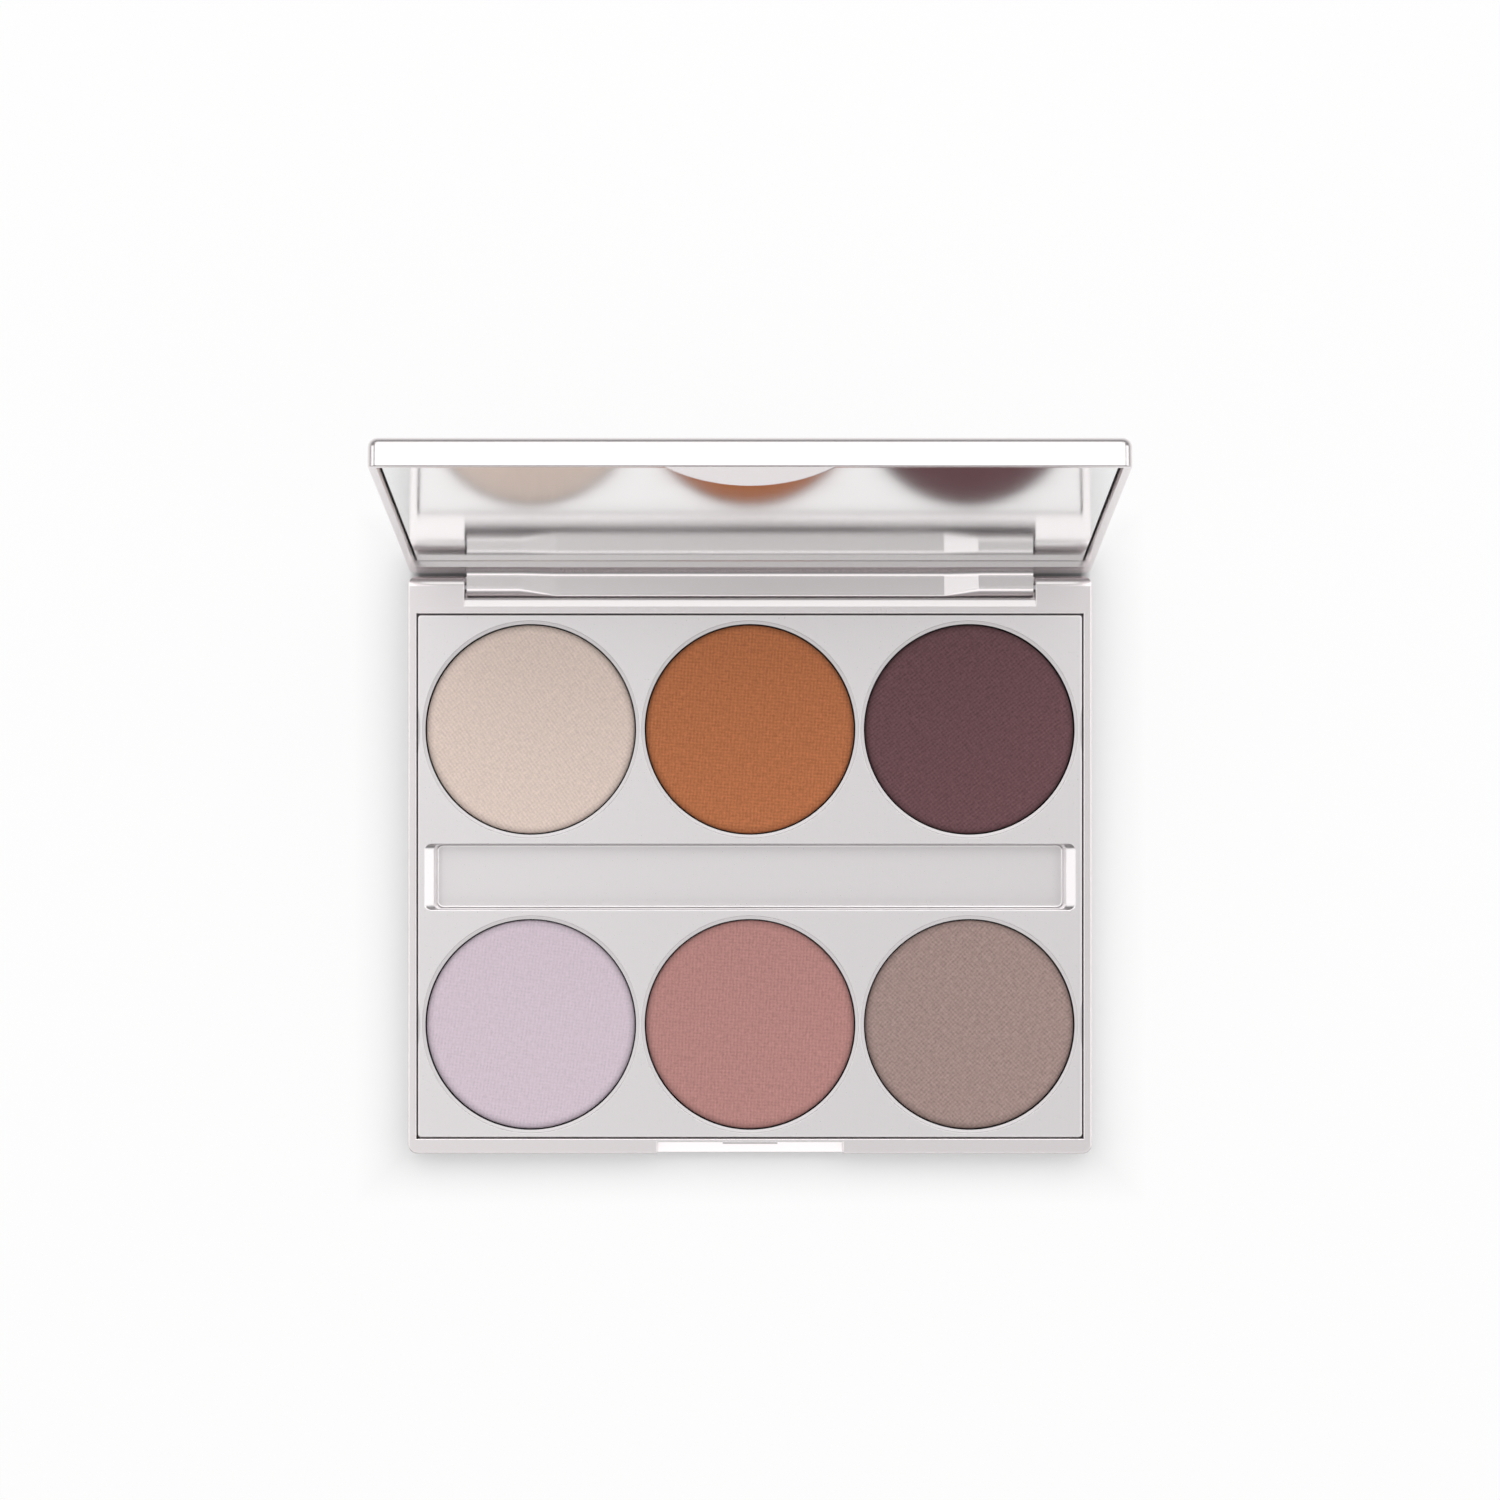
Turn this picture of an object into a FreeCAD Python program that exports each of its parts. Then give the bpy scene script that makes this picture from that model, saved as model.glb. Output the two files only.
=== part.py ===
"""Eyeshadow palette: a slim hinged case with a mirror in its lid and six pressed powder pans.

Millimetres, +Z up, hinge at the back (+Y). The origin is the centre of the base's underside.
The lid and what it carries are drawn shut, about the hinge line, and then swung open.
"""

import FreeCAD
import Part
import Sketcher
import math
import os

doc = FreeCAD.newDocument("eyeshadow_palette")

# Driving dimensions, in millimetres and degrees
SIZES = [
    # Pressed powder pans
    ("pan_radius", 15.2),
    ("pan_below_deck", 0.65),
    ("pan_sheet", 0.3),
    ("pan_bottom_round", 0.7),
    ("pan_clearance", 0.2),
    ("glue_radius", 8.0),
    ("glue_thickness", 0.2),
    ("powder_gap", 0.05),
    ("powder_rise", 0.4),
    ("powder_edge_width", 0.8),
    ("powder_edge_drop", 0.3),
    ("powder_foot_gap", 0.2),
    ("powder_brim_gap", 0.03),
    ("powder_brim_inset", 0.05),
    # Insert that holds the pans, with a channel for an applicator across its middle
    ("column_web", 1.26),
    ("channel_web", 1.42),
    ("side_margin", 0.34),
    ("front_margin", 0.33),
    ("back_margin", 0.56),
    ("insert_gap", 0.15),
    ("insert_below_rim", 0.15),
    ("insert_plate", 1.2),
    ("insert_skirt", 1.0),
    ("insert_corner", 0.5),
    ("insert_edge_round", 0.25),
    ("well_wall", 0.8),
    ("well_floor", 0.8),
    ("ledge_width", 0.5),
    ("ledge_edge_round", 0.08),
    ("ledge_wall", 0.01),
    ("ledge_flat", 0.1),
    ("ledge_slope_drop", 0.05),
    ("channel_width", 9.5),
    ("channel_under_gap", 0.85),
    ("channel_end_border", 1.0),
    ("channel_corner", 0.9),
    ("channel_ramp_length", 1.3),
    ("channel_ramp_drop", 0.9),
    ("channel_end_draft", 0.3),
    ("channel_side_draft", 0.12),
    ("channel_floor", 0.8),
    ("channel_edge_round", 0.2),
    ("channel_floor_round", 0.25),
    # Base shell
    ("base_height", 7.6),
    ("base_floor", 1.2),
    ("side_wall", 1.25),
    ("land_strip", 1.05),
    ("corner_radius", 1.4),
    ("rim_round", 0.25),
    ("cut_edge_round", 0.15),
    ("thumb_wall", 0.52),
    ("thumb_side_room", 2.45),
    ("thumb_under_room", 1.3),
    ("thumb_slope", 0.25),
    # Lid shell and mirror
    ("parting_gap", 0.15),
    ("lid_thickness", 4.0),
    ("lid_top", 1.3),
    ("lid_side_rim", 1.15),
    ("lid_front_rim", 1.15),
    ("lid_edge_round", 1.2),
    ("mirror_thickness", 1.5),
    ("mirror_gap", 0.2),
    ("mirror_corner", 0.6),
    ("mirror_edge_chamfer", 0.2),
    ("tape_thickness", 0.3),
    ("tape_margin", 3.0),
    # Hinge
    ("open_angle", 97.5),
    ("hinge_inset", 1.6),
    ("hinge_drop", 2.25),
    ("ear_width", 8.25),
    ("ear_crown", 0.1),
    ("pin_radius", 0.6),
    ("pin_inset", 0.3),
    ("pin_engagement", 5.55),
    ("pin_end_chamfer", 0.15),
    ("pin_running_gap", 0.05),
    ("pin_end_gap", 0.4),
    ("lug_side_gap", 0.3),
    ("lug_flat", 0.1),
    ("lug_root_round", 1.1),
    ("knuckle_wall", 0.85),
    ("knuckle_floor", 2.05),
    ("knuckle_blend", 5.0),
    ("web_front", 0.85),
    ("web_edge_round", 0.25),
    ("trough_gap", 0.3),
    ("stop_gap", 0.06),
    ("lip_width", 0.92),
    ("lip_drop", 0.27),
    # Snap tab at the front of the lid
    ("tab_chord", 22.2),
    ("tab_drop", 2.45),
    ("tab_inset", 0.3),
    ("tab_draft", 0.35),
    ("tab_edge_round", 0.2),
    ("tab_back_gap", 0.55),
    ("catch_length", 8.0),
    ("catch_half_height", 0.36),
    ("catch_tab_proud", 0.3),
    ("catch_bite", 0.08),
    ("catch_tab_drop", 1.75),
    ("catch_base_drop", 0.8),
    # How far a joined feature is sunk in its parent, and a cut runs past it
    ("merge", 0.4),
    ("overrun", 1.0),
]

# Sizes that follow from the driving ones
DERIVED = [
    # Hinge section, about the hinge line
    ("bore_radius", "Sizes.pin_radius + Sizes.pin_running_gap"),
    ("lug_reach", "bore_radius + Sizes.knuckle_wall"),
    ("lug_round", "lug_reach - Sizes.lug_flat"),
    ("ear_round", "Sizes.hinge_inset - Sizes.ear_crown"),
    ("back_sweep", "sqrt(pow(Sizes.hinge_inset - lug_round; 2) + pow(Sizes.lug_flat; 2)) + lug_round"),
    ("web_out", "Sizes.web_front - Sizes.web_edge_round"),
    ("web_down", "lug_reach - Sizes.web_edge_round"),
    ("web_sweep", "sqrt(pow(web_out; 2) + pow(web_down; 2)) + Sizes.web_edge_round"),
    ("lug_sweep", "max(back_sweep; web_sweep)"),
    ("trough_reach", "Sizes.hinge_inset + lug_sweep + Sizes.trough_gap"),
    ("hinge_land", "trough_reach + Sizes.lip_width + Sizes.land_strip"),
    # Tab and the recess that takes it
    ("tab_thickness", "Sizes.lid_front_rim - Sizes.tab_inset"),
    ("thumb_depth", "Sizes.lid_front_rim + Sizes.tab_back_gap"),
    ("thumb_half", "Sizes.tab_chord / 2 + Sizes.thumb_side_room"),
    ("thumb_drop", "Sizes.tab_drop - Sizes.parting_gap + Sizes.thumb_under_room"),
    ("catch_base_proud", "Sizes.tab_back_gap - Sizes.catch_tab_proud + Sizes.catch_bite"),
    ("front_wall", "thumb_depth + Sizes.thumb_wall"),
    # Plan of the insert and the case, built up around the pans
    ("well_radius", "Sizes.pan_radius + Sizes.pan_clearance"),
    ("ledge_radius", "well_radius + Sizes.ledge_width"),
    ("ledge_slope_width", "Sizes.ledge_width - Sizes.ledge_flat"),
    ("cup_radius", "well_radius + Sizes.well_wall"),
    ("column_pitch", "2 * well_radius + Sizes.column_web"),
    ("row_offset", "Sizes.channel_width / 2 + Sizes.channel_web + well_radius"),
    ("insert_half_width", "column_pitch + cup_radius + Sizes.side_margin"),
    ("insert_reach_front", "row_offset + cup_radius + Sizes.front_margin"),
    ("insert_reach_back", "row_offset + cup_radius + Sizes.back_margin"),
    ("half_width", "insert_half_width + Sizes.insert_gap + Sizes.side_wall"),
    ("reach_front", "insert_reach_front + Sizes.insert_gap + front_wall"),
    ("reach_back", "insert_reach_back + Sizes.insert_gap + hinge_land"),
    ("case_depth", "reach_front + reach_back"),
    ("half_depth", "case_depth / 2"),
    ("middle_y", "half_depth - reach_back"),
    ("insert_front", "middle_y - insert_reach_front"),
    ("insert_back", "middle_y + insert_reach_back"),
    ("thumb_back", "thumb_depth - half_depth"),
    # Levels in the base
    ("insert_top", "Sizes.base_height - Sizes.insert_below_rim"),
    ("ledge_drop", "Sizes.ledge_edge_round + Sizes.ledge_wall"),
    ("ledge_level", "insert_top - ledge_drop"),
    ("plate_under", "insert_top - Sizes.insert_plate"),
    ("well_bottom", "Sizes.base_floor + Sizes.well_floor"),
    ("pan_bottom", "well_bottom + Sizes.glue_thickness"),
    ("pan_height", "insert_top - Sizes.pan_below_deck - pan_bottom"),
    ("powder_radius", "Sizes.pan_radius - Sizes.pan_sheet - Sizes.powder_gap"),
    ("powder_brim_radius", "Sizes.pan_radius - Sizes.powder_brim_inset"),
    ("powder_brim_level", "pan_height - Sizes.pan_sheet + Sizes.powder_brim_gap"),
    ("powder_height", "pan_height - Sizes.pan_sheet + Sizes.powder_rise"),
    ("powder_shoulder",
     "(pow(Sizes.powder_edge_width; 2) + pow(Sizes.powder_edge_drop; 2)) / (2 * Sizes.powder_edge_drop)"),
    ("powder_foot_round", "Sizes.pan_bottom_round - Sizes.pan_sheet + Sizes.powder_foot_gap"),
    ("channel_half", "insert_half_width - Sizes.channel_end_border"),
    ("channel_under", "Sizes.base_floor + Sizes.channel_under_gap"),
    ("channel_bottom", "channel_under + Sizes.channel_floor"),
    # Hinge places
    ("axis_y", "half_depth - Sizes.hinge_inset"),
    ("axis_z", "Sizes.base_height - Sizes.hinge_drop"),
    ("notch_half", "half_width - Sizes.ear_width"),
    ("lug_half", "notch_half - Sizes.lug_side_gap"),
    ("trough_front", "half_depth - trough_reach"),
    ("trough_floor", "axis_z - Sizes.hinge_inset * tan(Sizes.open_angle / 2) - Sizes.stop_gap"),
    ("pin_outer_end", "half_width - Sizes.pin_inset"),
    ("pin_inner_end", "lug_half - Sizes.pin_engagement"),
    ("bore_end", "pin_inner_end - Sizes.pin_end_gap"),
    ("knuckle_start", "bore_end - Sizes.knuckle_floor"),
    ("web_end", "knuckle_start - Sizes.knuckle_blend"),
    # Lid levels, measured from the hinge line with the lid shut
    ("lid_rim", "Sizes.hinge_drop + Sizes.parting_gap"),
    ("lid_front", "Sizes.hinge_inset - case_depth"),
    ("lid_ceiling", "lid_rim + Sizes.lid_thickness - Sizes.lid_top"),
    ("mirror_back", "lid_ceiling - Sizes.tape_thickness"),
    ("mirror_face", "mirror_back - Sizes.mirror_thickness"),
    ("recess_front", "lid_front + Sizes.lid_front_rim"),
    ("recess_back", "Sizes.hinge_inset - hinge_land"),
    ("recess_half", "half_width - Sizes.lid_side_rim"),
    ("tab_outer", "lid_front + Sizes.tab_inset"),
    ("tab_inner", "tab_outer + tab_thickness"),
    ("tab_radius", "(pow(Sizes.tab_chord / 2; 2) + pow(Sizes.tab_drop; 2)) / (2 * Sizes.tab_drop)"),
]

# Two places closer than this are the same one
SAME_PLACE = 1e-4

# Powder colours, left to right, in the back row and the front row
ROWS = [
    (1, ["cream", "amber", "plum"]),
    (-1, ["lilac", "rose", "taupe"]),
]


def write_sheets():
    """The driving sizes as plain numbers, then the sizes that follow from them."""
    sizes = doc.addObject("Spreadsheet::Sheet", "Sizes")
    for row, (name, value) in enumerate(SIZES, start=1):
        sizes.set(f"A{row}", name)
        sizes.set(f"B{row}", str(value))
        sizes.setAlias(f"B{row}", name)
    doc.recompute()
    places = doc.addObject("Spreadsheet::Sheet", "Places")
    for row, (name, formula) in enumerate(DERIVED, start=1):
        places.set(f"A{row}", name)
        places.set(f"B{row}", "=" + formula)
        places.setAlias(f"B{row}", name)
        doc.recompute()
    return places


sheet = write_sheets()


def value(formula):
    """The present value of a formula over the sheets."""
    return float(sheet.evalExpression(formula))


def new_body(label):
    body = doc.addObject("PartDesign::Body", label)
    body.Label = label
    return body


def new_sketch(body, plane, offset=None):
    """A sketch on one of the body's origin planes, moved along its normal by a formula."""
    sketch = body.newObject("Sketcher::SketchObject", "Outline")
    support = next(item for item in body.Origin.OriginFeatures if item.Role == plane)
    sketch.AttachmentSupport = [(support, "")]
    sketch.MapMode = "FlatFace"
    if offset:
        sketch.setExpression("AttachmentOffset.Base.z", offset)
    return sketch


def tie_point(sketch, line, end, place):
    """Hold a line's end at a place given by two formulas."""
    origin = -1
    for kind, formula in zip(("DistanceX", "DistanceY"), place):
        if formula == "0":
            axis = -2 if kind == "DistanceX" else -1
            sketch.addConstraint(Sketcher.Constraint("PointOnObject", line, end, axis))
            continue
        limit = Sketcher.Constraint(kind, origin, 1, line, end, value(formula))
        index = sketch.addConstraint(limit)
        sketch.setExpression(f"Constraints[{index}]", formula)


def arc_between(start, finish, centre):
    """The shorter arc about a centre, and whether it runs backwards."""
    first = math.atan2(start[1] - centre[1], start[0] - centre[0])
    last = math.atan2(finish[1] - centre[1], finish[0] - centre[0])
    radius = math.hypot(start[0] - centre[0], start[1] - centre[1])
    circle = Part.Circle(FreeCAD.Vector(*centre, 0), FreeCAD.Vector(0, 0, 1), radius)
    turn = (last - first) % (2 * math.pi)
    if turn <= math.pi:
        return Part.ArcOfCircle(circle, first, first + turn), False
    return Part.ArcOfCircle(circle, last, last + 2 * math.pi - turn), True


def draw_outline(sketch, corners, arcs=None):
    """A closed outline through corners; arcs maps a corner to the centre and radius of the arc after it."""
    arcs = arcs or {}
    points = [(value(x), value(y)) for x, y in corners]
    count = len(points)
    ends = []
    for index in range(count):
        start = points[index]
        finish = points[(index + 1) % count]
        backwards = False
        if index in arcs:
            centre = (value(arcs[index][0]), value(arcs[index][1]))
            curve, backwards = arc_between(start, finish, centre)
        else:
            curve = Part.LineSegment(FreeCAD.Vector(*start, 0), FreeCAD.Vector(*finish, 0))
        ends.append((sketch.addGeometry(curve, False), backwards))
    for index in range(count):
        item, backwards = ends[index]
        after, after_backwards = ends[(index + 1) % count]
        finish_end = 1 if backwards else 2
        start_end = 2 if after_backwards else 1
        sketch.addConstraint(Sketcher.Constraint("Coincident", item, finish_end, after, start_end))
    for index in range(count):
        item, backwards = ends[index]
        tie_point(sketch, item, 2 if backwards else 1, corners[index])
        if index in arcs:
            limit = Sketcher.Constraint("Radius", item, value(arcs[index][2]))
            held = sketch.addConstraint(limit)
            sketch.setExpression(f"Constraints[{held}]", arcs[index][2])
    return sketch


def draw_rectangle(sketch, left, right, low, high):
    return draw_outline(sketch, [(left, low), (right, low), (right, high), (left, high)])


def draw_round_rectangle(sketch, half_x, middle, half_y, radius):
    """A rectangle about x = 0 with rounded corners, its middle at a given height."""
    right = f"({half_x})"
    high = f"({middle} + {half_y})"
    low = f"({middle} - ({half_y}))"
    inner = f"({right} - ({radius}))"
    corners = [
        (f"-{inner}", low), (inner, low),
        (right, f"{low} + {radius}"), (right, f"{high} - ({radius})"),
        (inner, high), (f"-{inner}", high),
        (f"-{right}", f"{high} - ({radius})"), (f"-{right}", f"{low} + {radius}"),
    ]
    arcs = {
        1: (inner, f"{low} + {radius}", radius),
        3: (inner, f"{high} - ({radius})", radius),
        5: (f"-{inner}", f"{high} - ({radius})", radius),
        7: (f"-{inner}", f"{low} + {radius}", radius),
    }
    return draw_outline(sketch, corners, arcs)


def draw_circles(sketch, centres, radius):
    for place in centres:
        spot = FreeCAD.Vector(value(place[0]), value(place[1]), 0)
        circle = Part.Circle(spot, FreeCAD.Vector(0, 0, 1), value(radius))
        item = sketch.addGeometry(circle, False)
        index = sketch.addConstraint(Sketcher.Constraint("Radius", item, value(radius)))
        sketch.setExpression(f"Constraints[{index}]", radius)
        tie_point(sketch, item, 3, place)
    return sketch


def extrude(body, kind, sketch, length, both_ways=False, backwards=False):
    """A Pad or Pocket of a sketch; one that leaves the volume as it was is refused."""
    doc.recompute()
    before = body.Shape.Volume if body.Tip and not body.Shape.isNull() else 0.0
    feature = body.newObject(f"PartDesign::{kind}", kind)
    feature.Profile = sketch
    feature.SideType = "Symmetric" if both_ways else "One side"
    feature.Reversed = backwards
    feature.setExpression("Length", length)
    doc.recompute()
    change = feature.Shape.Volume - before
    if (change <= 0) == (kind == "Pad"):
        raise RuntimeError(f"{body.Label}: a {kind} changed nothing")
    return feature


def pad(body, sketch, length, **ways):
    return extrude(body, "Pad", sketch, length, **ways)


def pocket(body, sketch, length, **ways):
    return extrude(body, "Pocket", sketch, length, **ways)


def revolve(body, sketch):
    feature = body.newObject("PartDesign::Revolution", "Revolution")
    feature.Profile = sketch
    feature.ReferenceAxis = (sketch, ["V_Axis"])
    feature.Angle = 360
    doc.recompute()
    return feature


def loft(body, kind, first, second):
    feature = body.newObject(f"PartDesign::{kind}", kind)
    feature.Profile = first
    feature.Sections = [second]
    feature.Ruled = True
    doc.recompute()
    return feature


def dress(body, kind, size, chosen):
    """A Fillet or Chamfer on the edges of the body so far that a test picks out."""
    doc.recompute()
    base = body.Tip
    names = [f"Edge{number}" for number, edge in enumerate(base.Shape.Edges, start=1) if chosen(edge)]
    if not names:
        raise RuntimeError(f"{body.Label}: no edge for a {kind}")
    feature = body.newObject(f"PartDesign::{kind}", kind)
    feature.Base = (base, names)
    feature.setExpression("Radius" if kind == "Fillet" else "Size", size)
    doc.recompute()
    return feature


def near(first, second):
    return abs(first - second) < SAME_PLACE


def is_upright(edge):
    box = edge.BoundBox
    return near(box.XLength, 0) and near(box.YLength, 0)


def is_level_at(edge, height):
    box = edge.BoundBox
    return near(box.ZMin, value(height)) and near(box.ZMax, value(height))


def case_outline(body, offset, front, back):
    """The plan of the closed case, shared by base and lid."""
    sketch = new_sketch(body, "XY_Plane", offset)
    return draw_rectangle(sketch, "-Places.half_width", "Places.half_width", front, back)


def make_base_shell():
    """Shallow moulded tray with two hinge ears, a trough between them and a thumb recess in front."""
    body = new_body("base_shell")
    sketch = case_outline(body, None, "-Places.half_depth", "Places.half_depth")
    pad(body, sketch, "Sizes.base_height")
    dress(body, "Fillet", "Sizes.corner_radius", lambda edge: is_upright(edge) or is_level_at(edge, "0"))
    dress(body, "Fillet", "Sizes.rim_round", lambda edge: is_level_at(edge, "Sizes.base_height"))

    cavity = new_sketch(body, "XY_Plane", "Sizes.base_height")
    draw_rectangle(
        cavity,
        "-(Places.insert_half_width + Sizes.insert_gap)",
        "Places.insert_half_width + Sizes.insert_gap",
        "Places.insert_front - Sizes.insert_gap",
        "Places.insert_back + Sizes.insert_gap",
    )
    pocket(body, cavity, "Sizes.base_height - Sizes.base_floor")
    cut_hinge_trough(body)
    cut_ear_rounding(body)
    bores = new_sketch(body, "YZ_Plane")
    draw_circles(bores, [("Places.axis_y", "Places.axis_z")], "Sizes.pin_radius")
    pocket(body, bores, "2 * Places.half_width + Sizes.overrun", both_ways=True)
    cut_thumb_recess(body)
    dress(body, "Fillet", "Sizes.cut_edge_round", is_base_cut_edge)
    add_base_catch(body)
    return body


def is_base_cut_edge(edge):
    """Upper edges of the cavity, of the thumb recess and of the ears beside the trough."""
    if not is_level_at(edge, "Sizes.base_height") or edge.Length < 2 * value("Sizes.cut_edge_round"):
        return False
    box = edge.BoundBox
    across = near(box.YLength, 0)
    sides = ("Places.insert_half_width + Sizes.insert_gap", "Places.thumb_half", "Places.notch_half")
    lines = (
        "Places.insert_front - Sizes.insert_gap",
        "Places.insert_back + Sizes.insert_gap",
        "Places.thumb_back",
    )
    if across:
        return any(near(box.YMin, value(line)) for line in lines)
    return near(box.XLength, 0) and any(near(abs(box.XMin), value(side)) for side in sides)


def cut_hinge_trough(body):
    """Trough for the lid's lug; its floor's back edge is the stop of the open lid."""
    past_back = "Places.half_depth + Sizes.overrun"
    past_top = "Sizes.base_height + Sizes.overrun"
    lip_front = "Places.trough_front - Sizes.lip_width"
    profile = new_sketch(body, "YZ_Plane")
    draw_outline(profile, [
        (past_back, "Places.trough_floor"),
        (past_back, past_top),
        (lip_front, past_top),
        (lip_front, "Sizes.base_height"),
        ("Places.trough_front", "Sizes.base_height - Sizes.lip_drop"),
        ("Places.trough_front", "Places.trough_floor"),
    ])
    pocket(body, profile, "2 * Places.notch_half", both_ways=True)


def cut_ear_rounding(body):
    """Rounds the ears' upper back edges, so that the lid's rim swings past them."""
    past_back = "Places.half_depth + Sizes.overrun"
    past_top = "Sizes.base_height + Sizes.overrun"
    round_y = "Places.half_depth - Places.ear_round"
    round_z = "Sizes.base_height - Places.ear_round"
    profile = new_sketch(body, "YZ_Plane")
    corners = [
        (round_y, "Sizes.base_height"),
        ("Places.half_depth", round_z),
        (past_back, round_z),
        (past_back, past_top),
        (round_y, past_top),
    ]
    draw_outline(profile, corners, {0: (round_y, round_z, "Places.ear_round")})
    pocket(body, profile, "2 * Places.half_width + Sizes.overrun", both_ways=True)


def cut_thumb_recess(body):
    """Recess for the lid's tab, with a sloping floor that lets a thumb under it."""
    inside = "Places.thumb_back"
    past_front = "-Places.half_depth - Sizes.overrun"
    past_top = "Sizes.base_height + Sizes.overrun"
    low = "Sizes.base_height - Places.thumb_drop - Sizes.thumb_slope"
    profile = new_sketch(body, "YZ_Plane")
    draw_outline(profile, [
        (past_front, past_top),
        (past_front, low),
        ("-Places.half_depth", low),
        (inside, "Sizes.base_height - Places.thumb_drop"),
        (inside, past_top),
    ])
    pocket(body, profile, "2 * Places.thumb_half", both_ways=True)


def draw_bead(body, wall, level, proud, towards):
    """Half-round bead on a wall, bulging towards +Y (1) or -Y (-1)."""
    radius = f"((pow(Sizes.catch_half_height; 2) + pow({proud}; 2)) / (2 * {proud}))"
    sign = "+" if towards > 0 else "-"
    against = "-" if towards > 0 else "+"
    centre = f"{wall} {sign} ({proud} - {radius})"
    low = f"{level} - Sizes.catch_half_height"
    high = f"{level} + Sizes.catch_half_height"
    sunk = f"{wall} {against} Sizes.merge / 2"
    profile = new_sketch(body, "YZ_Plane")
    corners = [(wall, low), (wall, high), (sunk, high), (sunk, low)]
    draw_outline(profile, corners, {0: (centre, level, radius)})
    pad(body, profile, "Sizes.catch_length", both_ways=True)


def add_base_catch(body):
    wall = "Places.thumb_back"
    draw_bead(body, wall, "Sizes.base_height - Sizes.catch_base_drop", "Places.catch_base_proud", -1)


def pan_place(column, row):
    """Centre of one pan; columns are -1, 0 and 1 from the left, rows 1 at the back and -1 in front."""
    across = f"{column} * Places.column_pitch" if column else "0"
    return across, f"Places.middle_y + {row} * Places.row_offset"


def pan_places(column_signs):
    """Centres of the pans in the given columns, in both rows."""
    return [pan_place(column, row) for row, _ in ROWS for column in column_signs]


def make_pan_insert():
    """Thin moulded deck with six wells, a skirt that stands on the base and a channel for an applicator."""
    body = new_body("pan_insert")
    half = "Places.insert_half_width"
    deck = new_sketch(body, "XY_Plane", "Places.plate_under")
    draw_rectangle(deck, f"-{half}", half, "Places.insert_front", "Places.insert_back")
    pad(body, deck, "Sizes.insert_plate")

    skirt = new_sketch(body, "XY_Plane", "Sizes.base_floor")
    draw_rectangle(skirt, f"-{half}", half, "Places.insert_front", "Places.insert_back")
    inner = f"({half} - Sizes.insert_skirt)"
    draw_rectangle(
        skirt, f"-{inner}", inner,
        "Places.insert_front + Sizes.insert_skirt", "Places.insert_back - Sizes.insert_skirt",
    )
    pad(body, skirt, "Places.plate_under - Sizes.base_floor")
    dress(body, "Fillet", "Sizes.insert_corner", lambda edge: is_upright(edge) and is_outer_corner(edge))

    for columns in ((-1, 1), (0,)):
        cups = new_sketch(body, "XY_Plane", "Sizes.base_floor")
        draw_circles(cups, pan_places(columns), "Places.cup_radius")
        pad(body, cups, "Places.plate_under - Sizes.base_floor")

    trough = new_sketch(body, "XY_Plane", "Places.channel_under")
    draw_rectangle(
        trough, f"-{inner}", inner,
        "Places.middle_y - Sizes.channel_width / 2 - Sizes.channel_web",
        "Places.middle_y + Sizes.channel_width / 2 + Sizes.channel_web",
    )
    pad(body, trough, "Places.plate_under - Places.channel_under")

    cut_wells(body)
    cut_channel(body)
    dress(body, "Fillet", "Sizes.insert_edge_round", is_deck_edge)
    return body


def is_outer_corner(edge):
    return near(abs(edge.BoundBox.XMax), value("Places.insert_half_width"))


def cut_wells(body):
    """Six wells for the pans, each inside a narrow ledge that slopes down to it."""
    places = pan_places((-1, 0, 1))
    ledges = new_sketch(body, "XY_Plane", "Places.insert_top")
    draw_circles(ledges, places, "Places.ledge_radius")
    pocket(body, ledges, "Places.ledge_drop")
    wells = new_sketch(body, "XY_Plane", "Places.insert_top")
    draw_circles(wells, places, "Places.well_radius")
    pocket(body, wells, "Places.insert_top - Places.well_bottom")
    slope = dress(
        body, "Chamfer", "Places.ledge_slope_width",
        lambda edge: is_ring_at(edge, "Places.ledge_level", "Places.well_radius"),
    )
    slope.ChamferType = "Two distances"
    slope.setExpression("Size2", "Sizes.ledge_slope_drop")
    doc.recompute()
    dress(
        body, "Fillet", "Sizes.ledge_edge_round",
        lambda edge: is_ring_at(edge, "Places.insert_top", "Places.ledge_radius"),
    )


def is_ring_at(edge, height, radius):
    """A level circle of a given height and radius."""
    return is_level_at(edge, height) and isinstance(edge.Curve, Part.Circle) and near(
        edge.Curve.Radius, value(radius)
    )


def is_deck_edge(edge):
    """The deck's outer edge."""
    if not is_level_at(edge, "Places.insert_top"):
        return False
    box = edge.BoundBox
    half = value("Places.insert_half_width")
    on_side = near(abs(box.XMin), half) and near(abs(box.XMax), half)
    on_front = near(box.YMin, value("Places.insert_front"))
    on_back = near(box.YMax, value("Places.insert_back"))
    return on_side or on_front or on_back


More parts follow.
